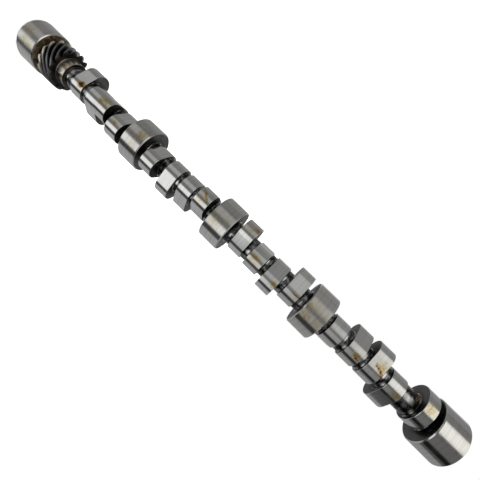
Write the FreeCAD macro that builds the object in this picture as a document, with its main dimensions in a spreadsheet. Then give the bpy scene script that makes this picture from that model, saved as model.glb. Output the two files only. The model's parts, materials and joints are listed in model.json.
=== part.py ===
"""One-piece camshaft of a big-block V8 pushrod engine, as a parametric document.

The shaft stands on its rear end face: the origin is the centre of that face and +Z runs along
the axis to the front end, where the timing sprocket is bolted on. From rear to front it has the
rear journal, the helical gear that drives distributor and oil pump, four bays of four lobes
between the journals, the fuel pump eccentric, the front journal and the pilot for the sprocket.
Lengths are in millimetres, angles in degrees, counted counter-clockwise seen from the front.
"""
import FreeCAD, Part
import math
import os
import Sketcher

NODE = "camshaft"
Vector = FreeCAD.Vector
Placement = FreeCAD.Placement
Rotation = FreeCAD.Rotation

# Driving sizes, one cell each in the sheet
SIZES = {
    # Journals, numbered from the front as on the engine
    "journal_diameter": 49.5,
    "journal_width": 24.3,
    "rear_journal_width": 27.0,
    "front_journal_width": 27.6,
    "journal_chamfer": 0.9,
    # Bays: the middle journals are one cylinder pitch apart, the end bays are longer
    "bay_pitch": 122.94,
    "rear_bay_length": 142.95,
    "front_bay_length": 124.87,
    # Shaft between the journals
    "core_diameter": 24.8,
    "root_chamfer": 1.0,
    # Lobes of one bay lie mirrored about its middle
    "lobe_width": 16.4,
    "exhaust_offset": 34.6,
    "intake_offset": 11.1,
    "base_circle_diameter": 28.3,
    "lobe_peak_radius": 24.5,
    "lobe_nose_radius": 12.8,
    # Timing, in degrees of camshaft turn
    "firing_step": 45.0,
    "exhaust_bank_angle": 90.0,
    "intake_bank_angle": 78.5,
    "exhaust_centre": 123.0,
    "intake_centre": 231.3,
    "lie_angle": 224.5,
    # Helical drive gear and its hub
    "gear_gap": 8.1,
    "gear_width": 19.9,
    "gear_tip_diameter": 47.3,
    "gear_teeth": 13,
    "gear_helix_angle": 57.4,
    "gear_pressure_angle": 20.0,
    "gear_turn": 18.9,
    "hub_diameter": 31.0,
    "hub_length": 10.9,
    # Fuel pump eccentric
    "eccentric_gap": 4.3,
    "eccentric_width": 12.1,
    "eccentric_diameter": 38.8,
    "eccentric_throw": 4.35,
    "eccentric_angle": 180.0,
    # Front end: pilot, tapped holes and dowel hole for the sprocket
    "pilot_diameter": 25.4,
    "pilot_length": 6.0,
    "pilot_chamfer": 1.0,
    "bolt_holes": 3,
    "bolt_hole_diameter": 6.6,
    "bolt_hole_depth": 25.0,
    "dowel_hole_diameter": 7.9,
    "dowel_hole_depth": 12.0,
    # Centre holes that the shaft was turned and ground between
    "centre_mouth_diameter": 8.0,
    "centre_pilot_diameter": 3.15,
    "centre_pilot_depth": 11.0,
    "centre_cone_angle": 60.0,
}

# Cylinders in the order in which they fire, odd ones on one bank and even ones on the other
FIRING_ORDER = (1, 8, 4, 3, 6, 5, 7, 2)

# Lobes of the bays from rear to front: two cylinders share a bay
BAY_CYLINDERS = ((8, 7), (6, 5), (4, 3), (2, 1))

# Normal module of the gear: tooth height above and below the pitch circle in modules
ADDENDUM = 1.0
DEDENDUM = 1.25

doc = FreeCAD.newDocument("camshaft_model")


def fill_sheet():
    """Make the sheet with one labelled and aliased cell for each driving size."""
    sheet = doc.addObject("Spreadsheet::Sheet", "sizes")
    for row, (alias, value) in enumerate(SIZES.items(), start=1):
        sheet.set(f"A{row}", alias.replace("_", " "))
        sheet.set(f"B{row}", str(value))
        sheet.setAlias(f"B{row}", alias)
    doc.recompute()
    return sheet


sheet = fill_sheet()


def size(alias):
    """Read one driving size from the sheet."""
    return float(getattr(sheet, alias))


def cell(alias):
    """Name a cell as an expression sees it."""
    return f"sizes.{alias}"


def evaluate(expression):
    """Work out an expression of cells as a plain number."""
    result = sheet.evalExpression(expression)
    return float(getattr(result, "Value", result))


# Places along the axis, each one worked out from the end face up
def gear_start():
    """Rear face of the gear."""
    return f"({cell('rear_journal_width')} + {cell('gear_gap')})"


def hub_end():
    """Front end of the gear's hub."""
    return f"({gear_start()} + {cell('gear_width')} + {cell('hub_length')})"


def journal_centre(bays_from_fourth):
    """Middle of the fourth journal, or of one that lies whole or half bays in front of it."""
    fourth = f"{cell('rear_journal_width')} + {cell('rear_bay_length')} + {cell('journal_width')} / 2"
    return f"({fourth} + {bays_from_fourth} * {cell('bay_pitch')})"


def front_journal_start():
    """Rear face of the front journal."""
    return f"({journal_centre(2)} + {cell('journal_width')} / 2 + {cell('front_bay_length')})"


def front_face():
    """Front face of the front journal, where the sprocket seats."""
    return f"({front_journal_start()} + {cell('front_journal_width')})"


def pilot_end():
    """Front end of the pilot and of the whole shaft."""
    return f"({front_face()} + {cell('pilot_length')})"


def bolt_circle_radius():
    """Radius midway between the pilot and the flat face's rim."""
    return f"(({cell('pilot_diameter')} + {cell('journal_diameter')}) / 4 - {cell('journal_chamfer')} / 2)"


def origin_part(body, role):
    """Find one plane or axis of a body's own origin by its role."""
    return next(item for item in body.Origin.OriginFeatures if item.Role == role)


def new_sketch(body, name, plane):
    """Add an empty sketch that lies on one of the body's origin planes."""
    sketch = body.newObject("Sketcher::SketchObject", name)
    sketch.AttachmentSupport = [(origin_part(body, plane), "")]
    sketch.MapMode = "FlatFace"
    return sketch


def raise_sketch(sketch, place, turn=None):
    """Lift a sketch on the XY plane along the axis and, if asked, turn it about the axis."""
    sketch.AttachmentOffset = Placement(Vector(0, 0, 1), Rotation(Vector(0, 0, 1), 1.0))
    sketch.setExpression(".AttachmentOffset.Base.z", place)
    sketch.setExpression(".AttachmentOffset.Rotation.Angle", turn if turn else "0")


def hold(sketch, kind, *where, by):
    """Add a constraint with a size that follows an expression."""
    index = sketch.addConstraint(Sketcher.Constraint(kind, *where))
    sketch.setExpression(f"Constraints[{index}]", by)


def add_feature(body, kind, name, **settings):
    """Add a feature to the body and bind the settings that are expressions."""
    feature = body.newObject(f"PartDesign::{kind}", name)
    for key, value in settings.items():
        if isinstance(value, str) and "sizes." in value:
            feature.setExpression(key, value)
        else:
            setattr(feature, key, value)
    return feature


# Gear: its transverse outline is swept straight up while a helix turns it
def gear_geometry():
    """Work out the circles and the flank of the gear's transverse outline."""
    helix = math.radians(size("gear_helix_angle"))
    teeth = int(size("gear_teeth"))
    tip = size("gear_tip_diameter") / 2
    module = 2 * tip / (teeth / math.cos(helix) + 2 * ADDENDUM)
    pitch = module / math.cos(helix) * teeth / 2
    root = pitch - DEDENDUM * module
    slope = math.tan(math.radians(size("gear_pressure_angle"))) / math.cos(helix)
    base = pitch * math.cos(math.atan(slope))
    foot = max(base, root)
    return teeth, tip, pitch, root, foot, base, slope


def half_tooth_angle(radius, teeth, base, slope):
    """Half the angle that a tooth takes at a radius, along the involute flank."""
    roll = math.acos(min(1.0, base / radius))
    involute_here = math.tan(roll) - roll
    involute_at_pitch = slope - math.atan(slope)
    return math.pi / (2 * teeth) + involute_at_pitch - involute_here


def draw_gear_outline(sketch):
    """Draw all teeth as tip, flank and root arcs round the axis."""
    teeth, tip, _, root, foot, base, slope = gear_geometry()
    middle = (tip + foot) / 2
    at_tip = half_tooth_angle(tip, teeth, base, slope)
    at_middle = half_tooth_angle(middle, teeth, base, slope)
    at_root = half_tooth_angle(foot, teeth, base, slope)
    step = 2 * math.pi / teeth

    def spot(radius, angle):
        return Vector(radius * math.cos(angle), radius * math.sin(angle), 0)

    for tooth in range(teeth):
        here = tooth * step
        after = here + step
        sketch.addGeometry(Part.Arc(spot(tip, here - at_tip), spot(tip, here), spot(tip, here + at_tip)))
        sketch.addGeometry(Part.Arc(
            spot(tip, here + at_tip), spot(middle, here + at_middle), spot(root, here + at_root)))
        sketch.addGeometry(Part.Arc(
            spot(root, here + at_root), spot(root, here + step / 2), spot(root, after - at_root)))
        sketch.addGeometry(Part.Arc(
            spot(root, after - at_root), spot(middle, after - at_middle), spot(tip, after - at_tip)))


def make_gear(body):
    """Sweep the toothed outline over the gear's width with a right-hand twist."""
    outline = new_sketch(body, "gear_outline", "XY_Plane")
    raise_sketch(outline, gear_start(), cell("gear_turn"))
    draw_gear_outline(outline)

    path = new_sketch(body, "gear_path", "XZ_Plane")
    start = evaluate(gear_start())
    path.addGeometry(Part.LineSegment(Vector(0, start, 0), Vector(0, start + size("gear_width"), 0)))
    path.addConstraint(Sketcher.Constraint("PointOnObject", 0, 1, -2))
    path.addConstraint(Sketcher.Constraint("Vertical", 0))
    hold(path, "DistanceY", -1, 1, 0, 1, start, by=gear_start())
    hold(path, "DistanceY", 0, 1, 0, 2, size("gear_width"), by=cell("gear_width"))

    pitch_radius = gear_geometry()[2]
    twist = doc.addObject("Part::Helix", "gear_twist")
    twist.Radius = pitch_radius
    twist.Pitch = 2 * math.pi * pitch_radius / math.tan(math.radians(size("gear_helix_angle")))
    twist.setExpression("Height", cell("gear_width"))
    twist.setExpression(".Placement.Base.z", gear_start())
    doc.recompute()

    return add_feature(
        body, "AdditivePipe", "gear", Profile=outline, Spine=(path, ["Edge1"]),
        Mode="Auxiliary", AuxiliarySpine=(twist, ["Edge1"]), AuxiliaryCurvilinear=True)


# Turned shaft: journals, core, gear hub and pilot as one revolved half section
def shaft_steps():
    """List each turned step as its diameter and the place where it ends, from rear to front."""
    journal = cell("journal_diameter")
    core = cell("core_diameter")
    half_width = cell("journal_width") + " / 2"
    steps = [
        (journal, cell("rear_journal_width")),
        (cell("hub_diameter"), hub_end()),
    ]
    for bay in range(3):
        steps.append((core, f"{journal_centre(bay)} - {half_width}"))
        steps.append((journal, f"{journal_centre(bay)} + {half_width}"))
    steps.append((core, front_journal_start()))
    steps.append((journal, front_face()))
    steps.append((cell("pilot_diameter"), pilot_end()))
    return steps


def make_shaft(body):
    """Revolve the stepped half section about the axis."""
    section = new_sketch(body, "shaft_section", "XZ_Plane")
    steps = shaft_steps()
    corners = [(None, None)]
    previous_end = None
    for diameter, end in steps:
        corners.append((diameter, previous_end))
        corners.append((diameter, end))
        previous_end = end
    corners.append((None, previous_end))

    points = [Vector(evaluate(across or "0") / 2, evaluate(along or "0"), 0) for across, along in corners]
    count = len(points)
    for index in range(count):
        section.addGeometry(Part.LineSegment(points[index], points[(index + 1) % count]))
    for index in range(count):
        section.addConstraint(Sketcher.Constraint("Coincident", index, 2, (index + 1) % count, 1))
    for index, (across, along) in enumerate(corners):
        if across:
            hold(section, "DistanceX", -1, 1, index, 1, points[index].x, by=f"({across}) / 2")
        else:
            section.addConstraint(Sketcher.Constraint("PointOnObject", index, 1, -2))
        if along:
            hold(section, "DistanceY", -1, 1, index, 1, points[index].y, by=along)
        else:
            section.addConstraint(Sketcher.Constraint("PointOnObject", index, 1, -1))
    return add_feature(
        body, "Revolution", "shaft", Profile=section, ReferenceAxis=(section, ["V_Axis"]), Angle=360.0)


# Lobes: a base circle and a nose arc joined by two tangent flanks
def draw_lobe(sketch):
    """Draw a lobe's outline with its peak on the sketch's X axis."""
    base = size("base_circle_diameter") / 2
    nose = size("lobe_nose_radius")
    reach = size("lobe_peak_radius") - nose
    lean = math.acos((base - nose) / reach)
    up = Vector(math.cos(lean), math.sin(lean), 0)
    down = Vector(math.cos(lean), -math.sin(lean), 0)
    centre = Vector(reach, 0, 0)
    axis = Vector(0, 0, 1)

    sketch.addGeometry(Part.ArcOfCircle(
        Part.Circle(Vector(0, 0, 0), axis, base), lean, 2 * math.pi - lean))
    sketch.addGeometry(Part.LineSegment(down * base, centre + down * nose))
    sketch.addGeometry(Part.ArcOfCircle(Part.Circle(centre, axis, nose), -lean, lean))
    sketch.addGeometry(Part.LineSegment(centre + up * nose, up * base))

    sketch.addConstraint(Sketcher.Constraint("Coincident", 0, 3, -1, 1))
    sketch.addConstraint(Sketcher.Constraint("PointOnObject", 2, 3, -1))
    sketch.addConstraint(Sketcher.Constraint("Tangent", 0, 2, 1, 1))
    sketch.addConstraint(Sketcher.Constraint("Tangent", 1, 2, 2, 1))
    sketch.addConstraint(Sketcher.Constraint("Tangent", 2, 2, 3, 1))
    sketch.addConstraint(Sketcher.Constraint("Tangent", 3, 2, 0, 1))
    hold(sketch, "Radius", 0, base, by=cell("base_circle_diameter") + " / 2")
    hold(sketch, "Radius", 2, nose, by=cell("lobe_nose_radius"))
    hold(sketch, "DistanceX", -1, 1, 2, 3, reach,
         by=f"{cell('lobe_peak_radius')} - {cell('lobe_nose_radius')}")


def lobe_angle(cylinder, kind):
    """Expression for a lobe's angle: as it lies, its bank, its turn to fire and its centreline."""
    side = -1 if cylinder % 2 else 1
    turn_to_fire = FIRING_ORDER.index(cylinder)
    return (f"{cell('lie_angle')} + 90 + {side} * {cell(kind + '_bank_angle')} / 2"
            f" + {turn_to_fire} * {cell('firing_step')} + {cell(kind + '_centre')}")


def make_lobe(body, bay, cylinder, kind, side):
    """Pad one lobe in its bay, rearward or forward of the bay's middle."""
    sketch = new_sketch(body, f"{kind}_{cylinder}_outline", "XY_Plane")
    place = f"{journal_centre(bay - 0.5)} + {side} * {cell(kind + '_offset')} - {cell('lobe_width')} / 2"
    raise_sketch(sketch, place, lobe_angle(cylinder, kind))
    draw_lobe(sketch)
    return add_feature(body, "Pad", f"{kind}_lobe_{cylinder}", Profile=sketch, Length=cell("lobe_width"))


def make_lobes(body):
    """Make all sixteen lobes, bay by bay from the rear."""
    for bay, (even, odd) in enumerate(BAY_CYLINDERS):
        make_lobe(body, bay, even, "exhaust", -1)
        make_lobe(body, bay, odd, "intake", -1)
        make_lobe(body, bay, even, "intake", 1)
        make_lobe(body, bay, odd, "exhaust", 1)


def make_eccentric(body):
    """Pad the round eccentric that works the fuel pump's arm."""
    sketch = new_sketch(body, "eccentric_outline", "XY_Plane")
    place = f"{front_journal_start()} - {cell('eccentric_gap')} - {cell('eccentric_width')}"
    raise_sketch(sketch, place, cell("eccentric_angle"))
    throw = size("eccentric_throw")
    radius = size("eccentric_diameter") / 2
    sketch.addGeometry(Part.Circle(Vector(throw, 0, 0), Vector(0, 0, 1), radius))
    sketch.addConstraint(Sketcher.Constraint("PointOnObject", 0, 3, -1))
    hold(sketch, "DistanceX", -1, 1, 0, 3, throw, by=cell("eccentric_throw"))
    hold(sketch, "Diameter", 0, 2 * radius, by=cell("eccentric_diameter"))
    return add_feature(body, "Pad", "fuel_pump_eccentric", Profile=sketch, Length=cell("eccentric_width"))


# Front end holes and the centre holes at both ends
def draw_hole_circle(sketch, angle, diameter):
    """Add one circle on the bolt circle, at an angle from the sketch's X axis."""
    radius = bolt_circle_radius()
    reach = evaluate(radius)
    spot = Vector(reach * math.cos(angle), reach * math.sin(angle), 0)
    index = sketch.addGeometry(Part.Circle(spot, Vector(0, 0, 1), size(diameter) / 2))
    hold(sketch, "DistanceX", -1, 1, index, 3, spot.x, by=f"{radius} * cos({math.degrees(angle)} deg)")
    hold(sketch, "DistanceY", -1, 1, index, 3, spot.y, by=f"{radius} * sin({math.degrees(angle)} deg)")
    hold(sketch, "Diameter", index, size(diameter), by=cell(diameter))


def make_front_holes(body):
    """Drill the tapped holes and, midway between two of them, the dowel hole."""
    count = int(size("bolt_holes"))
    step = 2 * math.pi / count
    bolts = new_sketch(body, "bolt_circle", "XY_Plane")
    raise_sketch(bolts, front_face())
    for index in range(count):
        draw_hole_circle(bolts, (index + 0.5) * step, "bolt_hole_diameter")
    add_feature(body, "Pocket", "tapped_holes", Profile=bolts, Length=cell("bolt_hole_depth"))

    dowel = new_sketch(body, "dowel_place", "XY_Plane")
    raise_sketch(dowel, front_face())
    draw_hole_circle(dowel, 0.0, "dowel_hole_diameter")
    return add_feature(body, "Pocket", "dowel_hole", Profile=dowel, Length=cell("dowel_hole_depth"))


def make_centre_hole(body, name, face, inward):
    """Groove a centre hole: a cone at the end face that leads into a short pilot hole."""
    sketch = new_sketch(body, f"{name}_section", "XZ_Plane")
    mouth = size("centre_mouth_diameter") / 2
    pilot = size("centre_pilot_diameter") / 2
    cone = (mouth - pilot) / math.tan(math.radians(size("centre_cone_angle") / 2))
    start = evaluate(face)
    cone_text = (f"({cell('centre_mouth_diameter')} - {cell('centre_pilot_diameter')})"
                 f" / 2 / tan({cell('centre_cone_angle')} * 1 deg / 2)")
    corners = (
        (0.0, 0.0, None, "0"),
        (mouth, 0.0, "centre_mouth_diameter", "0"),
        (pilot, cone, "centre_pilot_diameter", cone_text),
        (pilot, size("centre_pilot_depth"), "centre_pilot_diameter", cell("centre_pilot_depth")),
        (0.0, size("centre_pilot_depth"), None, cell("centre_pilot_depth")),
    )
    points = [Vector(across, start + inward * deep, 0) for across, deep, _, _ in corners]
    count = len(points)
    for index in range(count):
        sketch.addGeometry(Part.LineSegment(points[index], points[(index + 1) % count]))
    for index in range(count):
        sketch.addConstraint(Sketcher.Constraint("Coincident", index, 2, (index + 1) % count, 1))
    for index, (_, _, across, deep) in enumerate(corners):
        if across:
            hold(sketch, "DistanceX", -1, 1, index, 1, points[index].x, by=cell(across) + " / 2")
        else:
            sketch.addConstraint(Sketcher.Constraint("PointOnObject", index, 1, -2))
        along = f"{face} + {inward} * ({deep})"
        if points[index].y:
            hold(sketch, "DistanceY", -1, 1, index, 1, points[index].y, by=along)
        else:
            sketch.addConstraint(Sketcher.Constraint("PointOnObject", index, 1, -1))
    return add_feature(
        body, "Groove", name, Profile=sketch, ReferenceAxis=(sketch, ["V_Axis"]), Angle=360.0)


# Edges: turned chamfers at rims, ends and roots
def ring_edges(shape, radius, keep=None):
    """Names of the full or part circles of one radius that lie across the axis and are centred on it."""
    names = []
    for number, edge in enumerate(shape.Edges, start=1):
        curve = edge.Curve
        if not isinstance(curve, Part.Circle):
            continue
        on_axis = math.hypot(curve.Center.x, curve.Center.y) < 0.001
        if on_axis and abs(curve.Radius - radius) < 0.001 and (keep is None or keep(curve.Center.z)):
            names.append(f"Edge{number}")
    return names


def root_places():
    """Places along the axis where the core runs into the gear's hub or a journal."""
    places = [hub_end(), front_journal_start()]
    for bay in range(3):
        places.append(f"{journal_centre(bay)} - {cell('journal_width')} / 2")
        places.append(f"{journal_centre(bay)} + {cell('journal_width')} / 2")
    return [evaluate(place) for place in places]


def break_edges(body, before):
    """Chamfer the journals' rims and the pilot's end, and ease the roots on the core."""
    tip = evaluate(pilot_end())
    rims = ring_edges(before.Shape, size("journal_diameter") / 2)
    chamfers = add_feature(
        body, "Chamfer", "journal_chamfers", Base=(before, rims), Size=cell("journal_chamfer"))
    doc.recompute()
    ends = ring_edges(chamfers.Shape, size("pilot_diameter") / 2, lambda z: abs(z - tip) < 0.001)
    pilot = add_feature(
        body, "Chamfer", "pilot_lead_in", Base=(chamfers, ends), Size=cell("pilot_chamfer"))
    doc.recompute()
    places = root_places()
    roots = ring_edges(
        pilot.Shape, size("core_diameter") / 2, lambda z: any(abs(z - place) < 0.001 for place in places))
    return add_feature(body, "Chamfer", "root_chamfers", Base=(pilot, roots), Size=cell("root_chamfer"))


def make_camshaft():
    """Build the whole camshaft as one body."""
    body = doc.addObject("PartDesign::Body", NODE)
    body.Label = NODE
    make_gear(body)
    make_shaft(body)
    make_lobes(body)
    make_eccentric(body)
    doc.recompute()
    make_front_holes(body)
    make_centre_hole(body, "rear_centre_hole", "0", 1)
    last = make_centre_hole(body, "front_centre_hole", pilot_end(), -1)
    doc.recompute()
    break_edges(body, last)
    doc.recompute()
    return body


def check_document():
    """Stop if an object failed to compute."""
    for item in doc.Objects:
        failed = [state for state in item.State if state in ("Invalid", "Error")]
        if failed:
            raise RuntimeError(f"{item.Name} is {failed}")


def check_shape(item):
    """Stop if a sub-part's shape is missing, broken or not one solid."""
    shape = item.Shape
    if shape.isNull() or not shape.isValid():
        raise RuntimeError(f"{item.Label} has no valid shape")
    if len(shape.Solids) != 1:
        raise RuntimeError(f"{item.Label} has {len(shape.Solids)} solids instead of one")


camshaft = make_camshaft()
check_document()
check_shape(camshaft)
os.makedirs("parts", exist_ok=True)
camshaft.Shape.exportStep(f"parts/{NODE}.step")
box = camshaft.Shape.BoundBox
print(f"{NODE}: volume {camshaft.Shape.Volume / 1000:.1f} cm3, {len(camshaft.Shape.Faces)} faces,"
      f" box {box.XLength:.2f} x {box.YLength:.2f} x {box.ZLength:.2f} mm")
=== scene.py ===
"""Looks of a one-piece V8 engine camshaft: one closed steel surface, its finishes, light and camera.

The shaft stands on its rear end face with its axis on +Z. Its surface is one closed skin, worked
out as rings of points round the axis: every ring is a radius as a function of the angle, and the
rings follow a section along the axis. Sizes are millimetres and degrees until a mesh is made.
"""

import json
import logging
import math
from dataclasses import dataclass
from enum import Enum

import bpy
import numpy as np
from mathutils import Matrix, Vector


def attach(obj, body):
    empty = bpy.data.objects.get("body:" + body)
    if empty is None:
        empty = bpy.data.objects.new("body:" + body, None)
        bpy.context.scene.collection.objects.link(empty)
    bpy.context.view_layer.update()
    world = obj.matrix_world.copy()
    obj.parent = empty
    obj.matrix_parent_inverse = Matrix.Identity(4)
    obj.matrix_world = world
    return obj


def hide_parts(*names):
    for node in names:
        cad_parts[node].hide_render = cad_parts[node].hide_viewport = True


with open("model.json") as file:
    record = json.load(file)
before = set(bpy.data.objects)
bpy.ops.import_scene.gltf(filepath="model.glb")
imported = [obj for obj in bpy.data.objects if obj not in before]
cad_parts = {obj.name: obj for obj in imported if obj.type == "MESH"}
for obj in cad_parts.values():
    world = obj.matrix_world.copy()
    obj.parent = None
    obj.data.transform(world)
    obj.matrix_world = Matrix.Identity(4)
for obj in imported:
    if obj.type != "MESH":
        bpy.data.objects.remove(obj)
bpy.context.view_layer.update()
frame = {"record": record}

MM = 0.001
LOG = logging.getLogger("camshaft")

Spread = float | np.ndarray
Socket = bpy.types.NodeSocket
Sockets = bpy.types.bpy_prop_collection
Value = float | Socket
Colour = str | Socket


class Finish(Enum):
    """The finishes of the surface, in the order of the mesh's material slots."""

    GROUND_JOURNAL = 0
    GROUND_LOBE = 1
    TURNED_FACE = 2
    OILY_CORE = 3
    TURNED_HUB = 4
    HOBBED_GEAR = 5
    DRILLED_HOLE = 6


# Geometry

EDGE_STEPS = 3
FILLET_STEPS = 4


class Shell:
    """One closed surface, gathered loop by loop from the rear end of the shaft to the front end."""

    def __init__(self, columns: int) -> None:
        """Starts with no points.

        Args:
            columns: how many points a plain ring has.
        """
        self.angle = np.arange(columns) * 2 * math.pi / columns
        self.points: list[np.ndarray] = []
        self.faces: list[tuple[np.ndarray, Finish]] = []
        self.count = 0
        self.last = np.empty(0, int)

    def add_loop(self, points: np.ndarray, finish: Finish | None = None) -> np.ndarray:
        """Adds a closed loop of points, or a single point, which then is the last loop.

        Args:
            points: places in millimetres, one row of x, y and z each.
            finish: finish of the strip from the loop before; without it there is no strip.

        Returns:
            The numbers of the loop's points.
        """
        numbers = np.arange(self.count, self.count + len(points))
        self.points.append(points)
        self.count += len(points)
        if finish is not None:
            self.add_strip(self.last, numbers, finish)
        self.last = numbers
        return numbers

    def add_ring(self, radius: Spread, height: float, finish: Finish | None = None,
                 angle: np.ndarray | None = None) -> np.ndarray:
        """Adds a loop round the axis: radius times the cosine and the sine of the angle.

        Args:
            radius: distance from the axis, one value or one for each angle.
            height: place along the axis.
            finish: finish of the strip from the loop before, if there is one.
            angle: the angles in radians where they aren't those of a plain ring.

        Returns:
            The numbers of the ring's points.
        """
        turn = self.angle if angle is None else angle
        places = (radius * np.cos(turn), radius * np.sin(turn), np.full_like(turn, height))
        return self.add_loop(np.column_stack(places), finish)

    def add_rings(self, radii: np.ndarray, heights: np.ndarray, finish: Finish,
                  first: Finish | None = None) -> None:
        """Adds plain rings one after the other.

        Args:
            radii: the rings' radii, one value or one row of values for each ring.
            heights: the rings' places along the axis.
            finish: finish of their strips.
            first: finish of the first strip, where it differs.
        """
        for radius, height in zip(radii, heights):
            self.add_ring(radius, height, first or finish)
            first = None

    def add_strip(self, lower: np.ndarray, upper: np.ndarray, finish: Finish) -> None:
        """Joins two closed loops with faces whose normals point away from the solid.

        The second loop has as many points as the first, twice or half as many, or either loop is a
        single point: then the strip is a fan.

        Args:
            lower: point numbers of the loop that comes first along the section.
            upper: point numbers of the next loop.
            finish: the strip's finish.
        """
        after_lower = np.roll(lower, -1)
        after_upper = np.roll(upper, -1)
        if len(lower) == len(upper):
            corners = (lower, after_lower, after_upper, upper)
        elif len(lower) == 1:
            corners = (np.full(len(upper), lower[0]), after_upper, upper)
        elif len(upper) == 1:
            corners = (lower, after_lower, np.full(len(lower), upper[0]))
        elif len(upper) == 2 * len(lower):
            corners = (lower, after_lower, after_upper[1::2], upper[1::2], upper[::2])
        else:
            corners = (lower[::2], lower[1::2], after_lower[1::2], after_upper, upper)
        self.faces.append((np.column_stack(corners), finish))

    def to_object(self, name: str) -> bpy.types.Object:
        """Puts the surface into a mesh object at the origin, in metres, with smooth weighted normals.

        A point's normal is the sum of its faces' normals, each weighted with the face's area, so wide
        faces stay flat and all the bending is in the narrow fillets and edges between them.

        Args:
            name: the object's name.

        Returns:
            The new object, linked to the scene, each face numbered with its finish, the materials still to
            add.
        """
        used = np.unique(np.concatenate([corners.ravel() for corners, _ in self.faces]))
        renumber = np.zeros(self.count, int)
        renumber[used] = np.arange(len(used))
        places = np.concatenate(self.points)[used] * MM
        rows = [row for corners, _ in self.faces for row in renumber[corners].tolist()]
        finishes = np.concatenate([np.full(len(corners), finish.value) for corners, finish in self.faces])

        mesh = bpy.data.meshes.new(name)
        mesh.from_pydata(places, [], rows)
        mesh.polygons.foreach_set("material_index", finishes.astype(np.int32))
        mesh.polygons.foreach_set("use_smooth", np.ones(len(rows), bool))
        mesh.update()

        sizes = np.array([len(row) for row in rows])
        normals = np.empty(len(rows) * 3)
        areas = np.empty(len(rows))
        corner_points = np.empty(sizes.sum(), np.int32)
        mesh.polygons.foreach_get("normal", normals)
        mesh.polygons.foreach_get("area", areas)
        mesh.loops.foreach_get("vertex_index", corner_points)
        weighted = np.repeat(normals.reshape(-1, 3) * areas[:, None], sizes, axis=0)
        summed = np.zeros((len(used), 3))
        np.add.at(summed, corner_points, weighted)
        summed /= np.linalg.norm(summed, axis=1, keepdims=True)
        mesh.normals_split_custom_set_from_vertices(summed.tolist())

        piece = bpy.data.objects.new(name, mesh)
        bpy.context.scene.collection.objects.link(piece)
        return piece


def wrap(angle: np.ndarray) -> np.ndarray:
    """Brings angles in radians into the half turn on both sides of zero."""
    return (angle + math.pi) % (2 * math.pi) - math.pi


def fillet_section(size: float) -> tuple[np.ndarray, np.ndarray]:
    """Rises above the core and distances from the side face, along a hollow quarter circle."""
    sweep = np.linspace(0, math.pi / 2, FILLET_STEPS + 1)
    return size * (1 - np.cos(sweep)), size * (1 - np.sin(sweep))


@dataclass(frozen=True)
class Collar:
    """A round or cam-shaped collar on the shaft, with a rear and a front side face.

    Its section is: a hollow fillet out of the core, the flat side face, the broken edge, the outer
    surface and the same again downwards.
    """

    start: float
    width: float
    edge: float = 0.3
    fillet: float = 1.4
    finish: Finish = Finish.GROUND_JOURNAL

    @property
    def end(self) -> float:
        """Height of the front side face."""
        return self.start + self.width

    def outline(self, angle: np.ndarray) -> np.ndarray:
        """Radius of the outer surface at each angle in radians."""
        raise NotImplementedError

    def edge_section(self) -> tuple[np.ndarray, np.ndarray]:
        """Distances from the side face and shifts against the outline, along a quarter circle."""
        sweep = np.linspace(0, math.pi / 2, EDGE_STEPS + 1)
        return self.edge * (1 - np.cos(sweep)), self.edge * (np.sin(sweep) - 1)

    def add_foot(self, shell: Shell, core: float) -> None:
        """Adds the fillet that rises out of the shaft's radius behind the collar."""
        rise, along = fillet_section(self.fillet)
        shell.add_rings(core + rise, self.start - along, Finish.OILY_CORE)

    def add_band(self, shell: Shell) -> None:
        """Adds the rear side face, the outer surface and its two edges.

        Args:
            shell: the surface to add to.
        """
        inward, drop = self.edge_section()
        rims = self.outline(shell.angle) + drop[:, None]
        shell.add_rings(rims, self.start + inward, self.finish, Finish.TURNED_FACE)
        shell.add_rings(rims[::-1], self.end - inward[::-1], self.finish)

    def add_head(self, shell: Shell, core: float, finish: Finish = Finish.OILY_CORE) -> None:
        """Adds the front side face and the fillet down to the shaft's radius in front, with its finish."""
        rise, along = fillet_section(self.fillet)
        shell.add_rings(core + rise[::-1], self.end + along[::-1], finish, Finish.TURNED_FACE)


@dataclass(frozen=True)
class Journal(Collar):
    """A bearing journal: round about the axis, with a chamfer at each rim."""

    radius: float = 24.75
    chamfer: float = 0.9

    SOFTENING = 0.07

    def outline(self, angle: np.ndarray) -> np.ndarray:
        """The journal's own radius at every angle."""
        return np.full_like(angle, self.radius)

    def edge_section(self) -> tuple[np.ndarray, np.ndarray]:
        """The same for a 45 degree chamfer whose two corners are slightly rounded.

        Returns:
            Distances from the side face and shifts against the outline.
        """
        soft = self.SOFTENING * self.chamfer
        inward = np.array([0.0, soft, self.chamfer - soft, self.chamfer + soft])
        return inward, -inward[::-1]


@dataclass(frozen=True)
class Lobe(Collar):
    """A valve lobe: a base circle and a nose circle joined by two straight tangent flanks."""

    peak_angle: float = 0.0
    base_radius: float = 14.15
    peak_radius: float = 24.5
    nose_radius: float = 12.8
    fillet: float = 1.3
    finish: Finish = Finish.GROUND_LOBE

    def outline(self, angle: np.ndarray) -> np.ndarray:
        """Radius of nose, flanks and base circle.

        With the angle from the peak, the radius is the nose circle's far side near the peak, the base
        radius over the cosine of the angle to the flank's normal on the flank, and the base radius
        behind.

        Args:
            angle: angles in radians.

        Returns:
            The radius at each angle.
        """
        off = np.abs(wrap(angle - math.radians(self.peak_angle)))
        reach = self.peak_radius - self.nose_radius
        lean = math.acos((self.base_radius - self.nose_radius) / reach)
        nose_end = math.atan2(self.nose_radius * math.sin(lean), reach + self.nose_radius * math.cos(lean))
        across = reach * np.sin(np.minimum(off, nose_end))
        nose = reach * np.cos(off) + np.sqrt(self.nose_radius**2 - across**2)
        flank = self.base_radius / np.cos(np.clip(lean - off, 0, lean))
        return np.select([off < nose_end, off < lean], [nose, flank], self.base_radius)


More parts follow.
